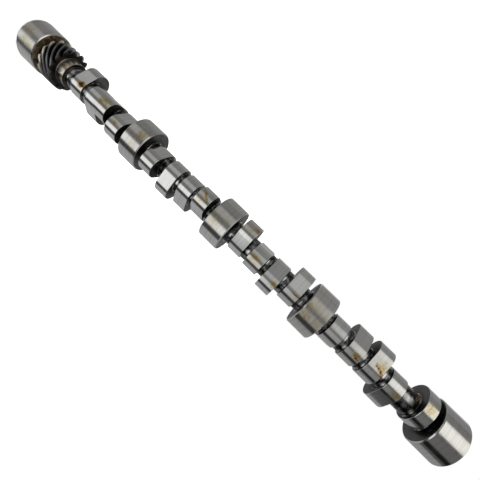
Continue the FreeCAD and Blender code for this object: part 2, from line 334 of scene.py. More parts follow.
@dataclass(frozen=True)
class Eccentric(Collar):
    """The round eccentric for the fuel pump: a circle whose centre lies off the axis."""

    edge: float = 0.4
    finish: Finish = Finish.GROUND_LOBE
    radius: float = 19.4
    throw: float = 4.35
    throw_angle: float = 180.0

    def outline(self, angle: np.ndarray) -> np.ndarray:
        """Far crossing of the ray at each angle with the shifted circle."""
        off = wrap(angle - math.radians(self.throw_angle))
        return self.throw * np.cos(off) + np.sqrt(self.radius**2 - (self.throw * np.sin(off)) ** 2)


@dataclass(frozen=True)
class Gear:
    """The helical drive gear, cut into the shaft by hobbing: involute flanks on a right-hand helix."""

    start: float = 35.1
    width: float = 19.9
    tip_radius: float = 23.65
    teeth: int = 13
    helix_angle: float = 57.4
    pressure_angle: float = 20.0
    turn: float = 18.9
    tip_edge: float = 0.3
    face_edge: float = 0.4
    fillet: float = 0.7

    SLICES = 30
    FLANK_STEPS = 6
    HALF_TOOTH = 12
    ADDENDUM = 1.0
    DEDENDUM = 1.25
    TIP_POINT = 0.55
    CORNER_DROPS = (0.3, 1.2)
    CORNER_REACH = 0.2
    HOLLOW_RISE = 0.25
    HOLLOW_REACH = 0.35

    @property
    def module(self) -> float:
        """Normal module that gives the tip radius with this count of teeth."""
        slant = math.cos(math.radians(self.helix_angle))
        return 2 * self.tip_radius / (self.teeth / slant + 2 * self.ADDENDUM)

    @property
    def pitch_radius(self) -> float:
        """Radius of the pitch circle."""
        return self.tip_radius - self.ADDENDUM * self.module

    @property
    def root_radius(self) -> float:
        """Radius at the bottom of the gaps."""
        return self.pitch_radius - self.DEDENDUM * self.module

    def half_angle(self, radius: Spread) -> Spread:
        """Half the angle that a tooth takes at a radius, by the involute's own formula.

        Args:
            radius: distance from the axis, one value or several.

        Returns:
            The half angle in radians at each radius.
        """
        slope = math.tan(math.radians(self.pressure_angle)) / math.cos(math.radians(self.helix_angle))
        base = self.pitch_radius * math.cos(math.atan(slope))
        roll = np.arccos(np.minimum(1.0, base / radius))
        return math.pi / (2 * self.teeth) + slope - math.atan(slope) - (np.tan(roll) - roll)

    def outline(self) -> tuple[np.ndarray, np.ndarray]:
        """All teeth as angles and radii: tip, rounded corner, flank and rounded gap for each half tooth.

        The points that round the corners lie at fixed shares of the tip's edge and of the gap's fillet.

        Returns:
            Angles in radians from the first tooth's middle and the radii there.
        """
        tip, root = self.tip_radius, self.root_radius
        at_tip = self.half_angle(tip)
        foot = self.half_angle(root + self.fillet)
        corner = self.tip_edge / tip
        hollow = self.fillet / root
        gap = math.pi / self.teeth
        over, under = (tip - share * self.tip_edge for share in self.CORNER_DROPS)
        flank = np.linspace(under, root + self.fillet, self.FLANK_STEPS)
        radii = np.array([tip, tip, tip, over, *flank, root + self.HOLLOW_RISE * self.fillet, root, root])
        angles = np.array([
            0.0, self.TIP_POINT * at_tip, at_tip - corner, at_tip - self.CORNER_REACH * corner,
            *self.half_angle(flank), foot + self.HOLLOW_REACH * hollow, foot + hollow, gap])
        half_angles = np.concatenate((-angles[:0:-1], angles[:-1]))
        half_radii = np.concatenate((radii[:0:-1], radii[:-1]))
        starts = np.arange(self.teeth) * 2 * gap
        return (starts[:, None] + half_angles[None, :]).ravel(), np.tile(half_radii, self.teeth)

    def add_to(self, shell: Shell, hub: float) -> None:
        """Adds the gear on its hub; the rings of the teeth have twice the shaft's points.

        A slice at a height is the outline turned by height times tan(helix) over the pitch radius.

        Args:
            shell: the surface to add to.
            hub: radius of the hub.
        """
        teeth_angle, outer = self.outline()
        twist = math.tan(math.radians(self.helix_angle)) / self.pitch_radius
        rise, along = fillet_section(self.fillet)
        end = self.start + self.width
        columns = 2 * self.HALF_TOOTH * self.teeth
        fine_angle = np.arange(columns) * 2 * math.pi / columns
        face_radius = (hub + self.fillet + self.root_radius) / 2
        bevel = np.array([0.0, 0.3, 1.0]) * self.face_edge
        middle = np.linspace(self.face_edge, self.width - self.face_edge, self.SLICES)[1:-1]
        heights = np.concatenate((bevel, middle, self.width - bevel[::-1]))
        drops = np.concatenate((bevel[::-1], np.zeros(len(middle)), bevel))
        turned = math.radians(self.turn) + twist * heights
        shifts = [round(turn / (2 * math.pi) * columns) for turn in turned[[0, -1]]]

        shell.add_rings(hub + rise, self.start - along, Finish.TURNED_HUB)
        shell.add_ring(face_radius, self.start, Finish.HOBBED_GEAR, fine_angle)
        shell.last = np.roll(shell.last, -shifts[0])
        for height, drop, turn in zip(heights, drops, turned):
            shell.add_ring(outer - drop, self.start + height, Finish.HOBBED_GEAR, teeth_angle + turn)
        shell.last = np.roll(shell.last, shifts[1])
        shell.add_ring(face_radius, end, Finish.HOBBED_GEAR, fine_angle)
        shell.add_rings(hub + rise[::-1], end + along[::-1], Finish.TURNED_HUB, Finish.HOBBED_GEAR)


@dataclass(frozen=True)
class DrilledHole:
    """A hole in the front face: a small countersink, a plain or threaded wall and a drill's cone.

    A thread's height over one pitch is a slope up and down, cut off flat at the root and the crest.
    """

    angle: float
    circle: float = 18.275
    radius: float = 3.3
    depth: float = 25.0
    mouth: float = 4.15
    thread_pitch: float = 0.0
    thread_height: float = 0.62
    thread_length: float = 19.0

    STEPS_A_PITCH = 6
    POINT_ANGLE = 118.0
    LIP_SHARES = (0.0, 0.1, 0.9)
    THREAD_PEAK = 1.4
    THREAD_SLOPE = 1.8

    def add_to(self, shell: Shell, rim: np.ndarray, face: float) -> None:
        """Adds the hole inside a closed loop of the face's points.

        Args:
            shell: the surface to add to.
            rim: point numbers of the loop round the hole, counter-clockwise seen from the front.
            face: height of the face.
        """
        turn = math.radians(self.angle)
        middle = self.circle * np.array([math.cos(turn), math.sin(turn)])
        loop = np.concatenate(shell.points)[rim][:, :2] - middle
        away = np.linalg.norm(loop, axis=1)
        round_angle = np.arctan2(loop[:, 1], loop[:, 0])
        toward = np.column_stack((np.cos(round_angle), np.sin(round_angle)))

        def add_circle(radius: Spread, drop: float, finish: Finish = Finish.DRILLED_HOLE) -> None:
            """Adds a ring about the hole's own axis, at a depth below the face."""
            places = middle + toward * np.reshape(radius, (-1, 1))
            shell.add_loop(np.column_stack((places, np.full(len(rim), face - drop))), finish)

        shell.last = rim
        add_circle((away + self.mouth) / 2, 0.0, Finish.TURNED_FACE)
        lip = self.mouth - self.radius
        for share in self.LIP_SHARES:
            add_circle(self.mouth - share * lip, share * lip, Finish.TURNED_FACE)
        if self.thread_pitch:
            count = int(self.thread_length / self.thread_pitch * self.STEPS_A_PITCH)
            for drop in lip + np.arange(count) * self.thread_pitch / self.STEPS_A_PITCH:
                phase = (-drop / self.thread_pitch - round_angle / (2 * math.pi)) % 1.0
                tooth = np.clip(self.THREAD_PEAK - np.abs(2 * phase - 1) * self.THREAD_SLOPE, 0.0, 1.0)
                fade = np.clip((self.thread_length + lip - drop) / self.thread_pitch, 0.0, 1.0)
                add_circle(self.radius + self.thread_height * tooth * fade, drop)
        add_circle(self.radius, self.depth)
        cone = self.radius / math.tan(math.radians(self.POINT_ANGLE / 2))
        shell.add_loop(np.array([[*middle, face - self.depth - cone]]), Finish.DRILLED_HOLE)


@dataclass(frozen=True)
class FrontFace:
    """The front journal's flat face, where the sprocket seats, with its tapped holes and dowel hole."""

    outer: float
    inner: float
    height: float
    holes: tuple[DrilledHole, ...]

    SPANS = 6
    HALF_WINDOW = 7

    def add_to(self, shell: Shell) -> None:
        """Adds the face as a grid of rings, inward from the last ring, with a window for each hole.

        Args:
            shell: the surface to add to.
        """
        radii = np.linspace(self.outer, self.inner, self.SPANS + 1)[1:]
        grid = np.array([shell.last] + [shell.add_ring(radius, self.height) for radius in radii])
        count = len(shell.angle)
        keep = np.ones(count, bool)
        for hole in self.holes:
            column = round(hole.angle / 360 * count)
            reach = np.arange(column - self.HALF_WINDOW, column + self.HALF_WINDOW + 1) % count
            keep[reach[:-1]] = False
            loop = np.concatenate((
                grid[0, reach[:-1]], grid[:-1, reach[-1]], grid[-1, reach[:0:-1]], grid[:0:-1, reach[0]]))
            hole.add_to(shell, loop, self.height)
        for lower, upper in zip(grid[:-1], grid[1:]):
            corners = np.column_stack((lower, np.roll(lower, -1), np.roll(upper, -1), upper))
            shell.faces.append((corners[keep], Finish.TURNED_FACE))
        shell.last = grid[-1]


@dataclass(frozen=True)
class CentreHole:
    """The hole in which the shaft turned while it was machined: a 60 degree cone and a short pilot.

    The lip is the rounded mouth's width and depth, the ease softens the corner between cone and pilot
    on its two sides, and the point is the height of the drill's own cone at the bottom.
    """

    mouth: float = 4.0
    pilot: float = 1.575
    depth: float = 11.0
    lip: tuple[float, float] = (0.25, 0.2)
    ease: tuple[float, float] = (0.1, 0.15)
    point: float = 0.6

    HALF_CONE = 30

    def section(self) -> tuple[np.ndarray, np.ndarray]:
        """Works out the hole's section from the rounded mouth down to the pilot's bottom.

        Returns:
            Radii and depths of its rings.
        """
        cone = (self.mouth - self.pilot) / math.tan(math.radians(self.HALF_CONE))
        (width, drop), (before, after) = self.lip, self.ease
        radii = np.array([self.mouth + width, self.mouth, self.pilot + before, self.pilot, self.pilot])
        return radii, np.array([0.0, drop, cone - before, cone + after, self.depth - self.point])


@dataclass(frozen=True)
class Camshaft:
    """The whole shaft: its collars, gear, core, front end and centre holes, as one closed surface."""

    journals: tuple[Journal, ...]
    lobes: tuple[Lobe, ...]
    eccentric: Eccentric
    gear: Gear = Gear()
    core_radius: float = 12.4
    hub_radius: float = 15.5
    hub_end: float = 65.9
    hub_edge: float = 0.5
    hub_fillet: float = 0.9
    pilot_radius: float = 12.7
    pilot_length: float = 6.0
    pilot_chamfer: float = 1.0
    pilot_root: float = 0.3
    thread_pitch: float = 1.411
    screw_angles: tuple[float, ...] = (60.0, 180.0, 300.0)
    dowel_hole: DrilledHole = DrilledHole(angle=0.0, radius=3.95, depth=12.0, mouth=4.3)
    centre_hole: CentreHole = CentreHole()

    COLUMNS = 156
    ROUNDED = 0.3
    SOFTENED = 0.1

    def build(self) -> bpy.types.Object:
        """Works out all rings from the rear end to the front end and makes the mesh.

        Returns:
            The shaft's object.
        """
        shell = Shell(self.COLUMNS)
        rear, front = self.journals[0], self.journals[-1]
        radii, depths = self.centre_hole.section()
        shell.add_loop(np.array([[0.0, 0.0, self.centre_hole.depth]]))
        shell.add_rings(radii[::-1], depths[::-1], Finish.DRILLED_HOLE)
        rear.add_band(shell)
        rear.add_head(shell, self.hub_radius, Finish.TURNED_HUB)
        self.gear.add_to(shell, self.hub_radius)
        self.add_hub_end(shell)
        collars = (*self.journals[1:-1], *self.lobes, self.eccentric)
        for collar in sorted(collars, key=lambda collar: collar.start):
            collar.add_foot(shell, self.core_radius)
            collar.add_band(shell)
            collar.add_head(shell, self.core_radius)
        front.add_foot(shell, self.core_radius)
        front.add_band(shell)
        self.add_front_end(shell, front)
        return shell.to_object("camshaft_steel")

    def add_hub_end(self, shell: Shell) -> None:
        """Adds the hub's front edge and the fillet down to the core.

        Args:
            shell: the surface to add to.
        """
        edge, fillet = self.hub_edge, self.hub_fillet
        radii = self.hub_radius + np.array([0.0, -self.ROUNDED * edge, -edge])
        roots = self.core_radius + np.array([fillet, self.ROUNDED * fillet, 0.0])
        places = np.array([-edge, -self.ROUNDED * edge, 0.0, 0.0, self.ROUNDED * fillet, fillet])
        shell.add_rings(np.concatenate((radii, roots)), self.hub_end + places, Finish.TURNED_HUB)

    def add_front_end(self, shell: Shell, journal: Journal) -> None:
        """Adds the drilled front face, the sprocket pilot and the front centre hole.

        Args:
            shell: the surface to add to.
            journal: the front journal, whose front rim is the last ring.
        """
        face, chamfer, pilot = journal.end, self.pilot_chamfer, self.pilot_radius
        rim = journal.radius + journal.edge_section()[1][0]
        screws = tuple(DrilledHole(turn, thread_pitch=self.thread_pitch) for turn in self.screw_angles)
        FrontFace(rim, pilot + self.pilot_root, face, (*screws, self.dowel_hole)).add_to(shell)

        tip = face + self.pilot_length
        soft = self.SOFTENED * chamfer
        radii = np.array([pilot, pilot, pilot - soft, pilot - chamfer])
        heights = np.array([face + self.pilot_root, tip - chamfer, tip - chamfer + soft, tip])
        shell.add_rings(radii, heights, Finish.TURNED_FACE)
        radii, depths = self.centre_hole.section()
        shell.add_rings(radii, tip - depths, Finish.DRILLED_HOLE, Finish.TURNED_FACE)
        shell.add_loop(np.array([[0.0, 0.0, tip - self.centre_hole.depth]]), Finish.DRILLED_HOLE)


@dataclass(frozen=True)
class Timing:
    """Where the lobes point: firing order, bank angles and centrelines, as on a V8's shaft."""

    firing_order: tuple[int, ...] = (1, 8, 4, 3, 6, 5, 7, 2)
    firing_step: float = 45.0
    lie_angle: float = 224.5
    exhaust_bank: float = 90.0
    intake_bank: float = 78.5
    exhaust_centre: float = 123.0
    intake_centre: float = 231.3

    QUARTER_TURN = 90

    def peak(self, cylinder: int, exhaust: bool) -> float:
        """Angle of a lobe's peak, as the shaft lies in the photo.

        Args:
            cylinder: the cylinder's number; odd ones are on one bank, even ones on the other.
            exhaust: whether it is the exhaust lobe.

        Returns:
            The angle in degrees.
        """
        side = -1 if cylinder % 2 else 1
        bank = self.exhaust_bank if exhaust else self.intake_bank
        centre = self.exhaust_centre if exhaust else self.intake_centre
        turns = self.firing_order.index(cylinder) * self.firing_step
        return (self.lie_angle + self.QUARTER_TURN + side * bank / 2 + turns + centre) % 360


@dataclass(frozen=True)
class Layout:
    """Where the collars sit along the shaft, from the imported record's pin mounts."""

    lobe_width: float = 16.4
    exhaust_offset: float = 34.6
    intake_offset: float = 11.1
    eccentric_width: float = 12.1
    eccentric_gap: float = 4.3
    cylinders: tuple[tuple[int, int], ...] = ((8, 7), (6, 5), (4, 3), (2, 1))
    timing: Timing = Timing()

    def journals(self, mounts: dict[str, dict]) -> tuple[Journal, ...]:
        """Takes the journals' places and sizes from their mounts, from the rear to the front.

        Args:
            mounts: the record's mounts by name.

        Returns:
            The five journals.
        """
        found = []
        for mount in (mounts[f"journal_{number}"] for number in (5, 4, 3, 2, 1)):
            width = mount["dims"]["length_mm"] + 2 * Journal.chamfer
            start = mount["pos_m"][2] / MM - width / 2
            found.append(Journal(start, width, radius=mount["dims"]["r_mm"]))
        return tuple(found)

    def lobes(self, journals: tuple[Journal, ...]) -> tuple[Lobe, ...]:
        """Places four lobes in each bay, mirrored about its middle.

        Args:
            journals: the journals, from the rear to the front.

        Returns:
            The sixteen lobes.
        """
        fourth, pitch = journals[1], journals[2].start - journals[1].start
        first_bay = fourth.start + fourth.width / 2 - pitch / 2
        found = []
        for bay, (even, odd) in enumerate(self.cylinders):
            middle = first_bay + bay * pitch - self.lobe_width / 2
            for cylinder, exhaust, offset in (
                    (even, True, -self.exhaust_offset), (odd, False, -self.intake_offset),
                    (even, False, self.intake_offset), (odd, True, self.exhaust_offset)):
                peak = self.timing.peak(cylinder, exhaust)
                found.append(Lobe(middle + offset, self.lobe_width, peak_angle=peak))
        return tuple(found)

    def plan(self, record: dict) -> Camshaft:
        """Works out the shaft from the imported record.

        Args:
            record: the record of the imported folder.

        Returns:
            The shaft, ready to build.
        """
        journals = self.journals({mount["name"]: mount for mount in record["mounts"]})
        rear_of_eccentric = journals[-1].start - self.eccentric_gap - self.eccentric_width
        return Camshaft(journals, self.lobes(journals), Eccentric(rear_of_eccentric, self.eccentric_width))


# Materials


def linear(code: str) -> tuple[float, float, float, float]:
    """Turns an sRGB hex code into a linear colour.

    Args:
        code: the code, such as "#8A8A88".

    Returns:
        Linear red, green and blue, and full alpha.
    """
    shares = [int(code[place:place + 2], 16) / 255 for place in (1, 3, 5)]
    red, green, blue = (
        share / 12.92 if share <= 0.04045 else ((share + 0.055) / 1.055) ** 2.4 for share in shares)
    return red, green, blue, 1.0


class Graph:
    """A node tree, with short names for the nodes that the materials and the sky share."""

    def __init__(self, owner: bpy.types.Material | bpy.types.World) -> None:
        """Starts with an empty tree.

        Args:
            owner: the material or the sky whose nodes these are.
        """
        owner.use_nodes = True
        self.tree = owner.node_tree
        self.tree.nodes.clear()

    def node(self, kind: str, inputs: dict | None = None, **settings: str) -> bpy.types.Node:
        """Adds a node, sets it and fills its inputs.

        Args:
            kind: the node's type, such as ShaderNodeMath.
            inputs: socket name or number to a value, a hex code or an output socket, which is linked.
            settings: attributes of the node itself.

        Returns:
            The new node.
        """
        node = self.tree.nodes.new(kind)
        for key, value in settings.items():
            setattr(node, key, value)
        for key, value in (inputs or {}).items():
            if isinstance(value, Socket):
                self.tree.links.new(value, node.inputs[key])
            else:
                node.inputs[key].default_value = linear(value) if isinstance(value, str) else value
        return node

    def math(self, operation: str, *values: Value) -> Socket:
        """Adds a sum, product or other operation on numbers."""
        return self.node("ShaderNodeMath", dict(enumerate(values)), operation=operation).outputs[0]

    def vector(self, operation: str, *values: Socket | tuple, **named: Value) -> Sockets:
        """Adds an operation on vectors and gives all its outputs."""
        inputs = {**dict(enumerate(values)), **named}
        return self.node("ShaderNodeVectorMath", inputs, operation=operation).outputs

    def between(self, value: Socket, start: float, end: float, low: float = 0.0, high: float = 1.0) -> Socket:
        """Turns a value into a smooth step from low at the start to high at the end."""
        inputs = {"Value": value, "From Min": start, "From Max": end, "To Min": low, "To Max": high}
        return self.node("ShaderNodeMapRange", inputs, interpolation_type="SMOOTHSTEP").outputs[0]

    def blend(self, share: Value, first: Colour, second: Colour, kind: str = "MIX") -> Socket:
        """Blends two colours, each a hex code or a socket."""
        inputs = {0: share, 6: first, 7: second}
        return self.node("ShaderNodeMix", inputs, data_type="RGBA", blend_type=kind).outputs[2]


# How far noise frays the edge of a stain and of a painted glint, as a share of its spread
STAIN_FRAY = 1.5
GLINT_FRAY = 0.8


class Recipe(Graph):
    """A material under construction.

    All patterns are laid out in the object's own coordinates, in millimetres.
    """

    def __init__(self, name: str) -> None:
        """Starts an empty material and works out where on the shaft a point lies.

        Args:
            name: the material's name.
        """
        self.material = bpy.data.materials.new(name)
        super().__init__(self.material)
        metres = self.node("ShaderNodeTexCoord").outputs["Object"]
        self.point = self.vector("SCALE", metres, Scale=1 / MM)[0]
        parts = self.node("ShaderNodeSeparateXYZ", {0: self.point}).outputs
        self.height = parts["Z"]
        across = self.node("ShaderNodeCombineXYZ", {0: parts["X"], 1: parts["Y"]}).outputs[0]
        self.radius = self.vector("LENGTH", across)["Value"]

    def noise(self, spacing: tuple[float, float, float], detail: float = 3.0, seed: float = 0.0) -> Socket:
        """Adds mottling from 0 to 1.

        Args:
            spacing: size of one blotch along x, y and z in millimetres.
            detail: how many finer layers are added.
            seed: moves the pattern, so that two noises differ.

        Returns:
            The noise's value socket.
        """
        scale = tuple(1 / size for size in spacing)
        place = self.vector("MULTIPLY_ADD", self.point, scale, (seed, seed * 1.7, seed * 0.6))[0]
        inputs = {"Vector": place, "Scale": 1.0, "Detail": detail, "Roughness": 0.6}
        return self.node("ShaderNodeTexNoise", inputs).outputs[0]

    def rings(self, spacing: float) -> Socket:
        """Adds fine lines round the axis on a flat end face, where only the radius changes."""
        place = self.node("ShaderNodeCombineXYZ", {0: self.math("DIVIDE", self.radius, spacing)}).outputs[0]
        return self.node("ShaderNodeTexNoise", {"Vector": place, "Scale": 1.0, "Detail": 2.0}).outputs[0]

    def fray(self, noise: Socket, size: float) -> Socket:
        """Brings a noise about zero and scales it, to fray an edge with."""
        return self.math("MULTIPLY", self.math("SUBTRACT", noise, 0.5), size)

    def ramp(self, value: Socket, stops: tuple[tuple[float, str], ...]) -> Socket:
        """Adds a ramp of colours.

        Args:
            value: a value from 0 to 1.
            stops: place and hex code of each colour, in rising order.

        Returns:
            The colour at the value.
        """
        node = self.node("ShaderNodeValToRGB", {0: value})
        elements = node.color_ramp.elements
        while len(elements) < len(stops):
            elements.new(1.0)
        for element, (place, code) in zip(elements, stops):
            element.position = place
            element.color = linear(code)
        return node.outputs["Color"]

    def bump(self, height: Socket, size: float) -> Socket:
        """Turns a height from 0 to 1 into a bent normal; the size is the full height in millimetres."""
        inputs = {"Height": height, "Distance": size * MM, "Strength": 1.0}
        return self.node("ShaderNodeBump", inputs).outputs[0]

    def cover(self, patches: tuple["Stain", ...], ragged: Socket, base: Socket | None = None) -> Socket:
        """Lays stains and painted highlights over each other, so that the thickest counts at each point.

        Args:
            patches: the stains, and in the glint tables the painted highlights.
            ragged: noise about zero that frays their edges.
            base: a film that is there already.

        Returns:
            The thickness from 0 to 1.
        """
        for layer in patches:
            patch = layer.add_to(self, ragged)
            base = patch if base is None else self.math("MAXIMUM", base, patch)
        return base

    def film(self, patches: tuple["Stain", ...], haze: float) -> Socket:
        """Adds all stains and a thin uneven haze of oil, both speckled.

        Args:
            patches: the stains.
            haze: thickness of the haze where it is thickest.

        Returns:
            The film's thickness from 0 to 1.
        """
        mottle = self.noise((1.9, 1.9, 1.9), detail=4.0, seed=2.0)
        ragged = self.fray(mottle, STAIN_FRAY)
        film = self.between(self.noise((16.0, 16.0, 11.0), seed=5.0), 0.5, 0.75, 0.0, haze)
        film = self.cover(patches, ragged, film)
        specks = self.between(self.noise((1.2, 1.2, 1.2), detail=1.0, seed=13.0), 0.6, 0.72, 0.0, 0.22)
        speckled = self.math("ADD", film, self.math("MULTIPLY", specks, self.between(film, 0.25, 0.5)))
        tone = self.noise((3.0, 3.0, 2.4), detail=4.0, seed=9.0)
        return self.math("MULTIPLY", speckled, self.between(tone, 0.34, 0.64, 0.74, 1.14))

    def close(self, coat: tuple[float, float] | None = None, **inputs: Value | Colour) -> bpy.types.Material:
        """Adds the shader and the material's output.

        Args:
            coat: share and roughness of a wet coat of oil, where there is one.
            inputs: the shader's inputs, spaces in their names written as underscores.

        Returns:
            The finished material.
        """
        named = {key.replace("_", " "): value for key, value in inputs.items()}
        if coat:
            named["Coat Weight"], named["Coat Roughness"] = coat
        shader = self.node("ShaderNodeBsdfPrincipled", named)
        self.node("ShaderNodeOutputMaterial", {"Surface": shader.outputs[0]})
        return self.material


@dataclass(frozen=True)
class Stain:
    """A patch given by where its middle lies on the shaft and how far it spreads: baked-on oil, and in
    the glint tables a painted highlight.

    Oil varnish is clear and straw-coloured where it is thin, olive where it is thicker, then
    orange-brown and nearly black where it is thickest. The film has its full thickness within CORE
    times its spread and is gone at RIM times it, apart from the noise that frays it.
    """

    height: float
    angle: float
    radius: float
    along: float
    across: float
    thickness: float

    FILM = (
        (0.0, "#FFFFFF"), (0.25, "#FAF7EF"), (0.48, "#EBDEBA"), (0.68, "#C7A663"), (0.86, "#9A6222"),
        (1.0, "#3E2409"))
    CORE = 0.05
    RIM = 1.45

    def add_to(self, recipe: Recipe, ragged: Socket) -> Socket:
        """Adds the patch to a material.

        Args:
            recipe: the material.
            ragged: noise about zero that frays the patch's edge.

        Returns:
            The film's thickness, 0 away from the patch.
        """
        turn = math.radians(self.angle)
        middle = (self.radius * math.cos(turn), self.radius * math.sin(turn), self.height)
        scale = (1 / self.across, 1 / self.across, 1 / self.along)
        shift = tuple(-place * share for place, share in zip(middle, scale))
        offset = recipe.vector("MULTIPLY_ADD", recipe.point, scale, shift)[0]
        distance = recipe.vector("LENGTH", offset)["Value"]
        frayed = recipe.math("ADD", distance, ragged)
        return recipe.between(frayed, self.CORE, self.RIM, self.thickness, 0.0)


STREAK_STAINS = 12


def streak(start: tuple[float, float], end: tuple[float, float], radius: float, width: float,
           thickness: float) -> tuple[Stain, ...]:
    """A run of small stains in a line, where a drop of oil ran down the surface.

    Args:
        start: height and angle where the run starts.
        end: height and angle where it ends.
        radius: distance from the axis.
        width: spread of each stain in millimetres.
        thickness: the film's thickness.

    Returns:
        The stains, close enough to flow into each other.
    """
    places = np.linspace(start, end, STREAK_STAINS)
    return tuple(Stain(height, angle, radius, width, width, thickness) for height, angle in places)


GROUND_STAINS = (
    Stain(9.0, 262, 24.7, 12.0, 8.0, 0.42),
    Stain(14.0, 290, 24.7, 14.0, 7.0, 0.42),
    Stain(89.8, 272, 14.2, 5.2, 4.6, 1.3),
    Stain(86.0, 262, 14.2, 9.0, 6.0, 0.25),
    Stain(128.4, 265, 24.4, 4.6, 4.2, 0.72),
    Stain(132.4, 257, 24.0, 8.0, 8.0, 0.54),
    Stain(137.0, 264, 24.3, 6.0, 6.0, 0.42),
    Stain(154.5, 281, 23.0, 8.0, 2.6, 0.62),
    Stain(186.5, 257, 24.7, 8.0, 7.5, 0.53),
    Stain(189.3, 236, 24.7, 3.0, 3.0, 0.42),
    Stain(184.0, 288, 24.7, 7.5, 6.0, 0.27),
    *streak((271.0, 240), (283.0, 262), 24.1, 1.5, 0.74),
    *streak((276.0, 246), (278.0, 254), 24.1, 2.2, 0.6),
    Stain(276.0, 268, 24.3, 11.0, 8.0, 0.36),
    Stain(311.0, 264, 24.7, 6.0, 6.0, 0.34),
    Stain(300.0, 276, 24.7, 12.0, 12.0, 0.36),
    Stain(337.3, 223, 24.2, 4.0, 3.8, 0.68),
    Stain(326.0, 238, 23.6, 4.0, 4.0, 0.42),
    Stain(331.5, 232, 23.9, 12.0, 7.0, 0.4),
    Stain(353.5, 274, 24.4, 9.0, 3.6, 0.66),
    Stain(355.5, 283, 24.4, 13.0, 7.0, 0.38),
    Stain(382.8, 292, 22.6, 5.0, 3.4, 0.74),
    Stain(404.5, 276, 14.2, 8.0, 1.2, 0.8),
    Stain(405.0, 286, 14.2, 7.0, 4.4, 0.2),
    Stain(419.0, 265, 24.7, 4.6, 7.0, 0.5),
    Stain(425.0, 262, 24.7, 13.0, 9.0, 0.33),
    Stain(436.0, 264, 24.7, 5.0, 7.0, 0.36),
    Stain(422.0, 288, 24.7, 9.0, 7.0, 0.52),
    Stain(433.0, 286, 24.7, 9.0, 8.0, 0.38),
    Stain(481.3, 280, 14.2, 6.0, 4.4, 0.72),
    Stain(482.5, 286, 14.2, 2.6, 1.6, 1.05),
    *streak((499.5, 250), (505.0, 258), 15.0, 2.2, 0.8),
    *streak((504.5, 257), (508.8, 268), 14.7, 2.4, 0.92),
    Stain(500.5, 249, 15.0, 4.0, 3.6, 0.66),
    Stain(504.5, 243, 15.6, 8.5, 8.5, 0.48),
    Stain(527.8, 287, 14.2, 6.0, 7.0, 0.62),
    Stain(553.7, 242, 21.2, 8.0, 7.5, 0.54),
    Stain(560.0, 297, 17.0, 3.0, 3.0, 0.6),
)

CORE_STAINS = (
    Stain(545.0, 215, 12.6, 3.6, 6.0, 0.9),
    Stain(545.0, 238, 12.6, 3.6, 5.0, 0.8),
    Stain(195.6, 238, 12.4, 4.0, 5.0, 0.8),
)

# Painted highlights on the core and its roots: bright spots where the gaps mirror the soft boxes, the wider
# and weaker ones painted sheen.
CORE_PAINTED_GLINTS = (
    Stain(68.0, 291, 12.4, 2.2, 3.2, 1.0),
    Stain(67.0, 262, 12.5, 0.8, 6.5, 0.8),
    Stain(69.4, 252, 12.4, 4.0, 7.0, 0.45),
    Stain(75.7, 294, 12.7, 1.4, 4.6, 0.9),
    Stain(98.8, 310, 12.6, 1.6, 9.0, 0.6),
    Stain(195.0, 269, 12.7, 1.2, 3.2, 0.9),
    Stain(219.4, 289, 12.4, 0.9, 3.0, 0.9),
    Stain(242.9, 286, 12.4, 1.0, 4.0, 0.9),
    Stain(267.5, 290, 12.4, 1.0, 3.0, 0.7),
    Stain(319.9, 290, 12.4, 0.9, 3.0, 0.7),
    Stain(343.9, 285, 12.4, 1.6, 3.4, 0.9),
    Stain(364.7, 256, 12.6, 0.9, 3.6, 1.0),
    Stain(387.2, 257, 12.5, 0.9, 3.6, 1.0),
    Stain(413.0, 285, 12.4, 0.9, 3.8, 0.9),
    Stain(413.0, 208, 12.4, 2.2, 4.0, 0.5),
    Stain(464.8, 259, 12.4, 1.1, 4.4, 1.0),
    Stain(468.3, 287, 12.6, 0.9, 3.0, 1.0),
    Stain(487.9, 260, 12.4, 0.9, 4.4, 0.9),
    Stain(490.9, 287, 12.6, 0.9, 3.0, 1.0),
    Stain(510.6, 258, 12.4, 0.9, 4.6, 0.9),
    Stain(514.2, 287, 12.6, 1.2, 3.0, 1.0),
    Stain(537.6, 257, 12.4, 5.6, 4.6, 0.5),
    Stain(541.5, 201, 12.4, 4.4, 3.0, 0.5),
    Stain(546.6, 287, 12.8, 1.3, 3.4, 1.0),
)

# Painted highlights on the hub's -Y side: a cream patch and a crescent along its rear edge.
HUB_PAINTED_GLINTS = (
    Stain(59.8, 290, 15.5, 4.4, 5.0, 0.9),
    Stain(56.2, 272, 15.6, 1.5, 11.0, 0.75),
)

FACE_STAINS = (
    *(Stain(27.0, angle, 22.0, 6.0, 14.0, 0.6) for angle in range(200, 306, 35)),
    Stain(27.0, 340, 22.0, 6.0, 14.0, 0.5),
)

HUB_STAINS = (
    Stain(60.0, 252, 15.5, 9.0, 8.0, 0.42),
)


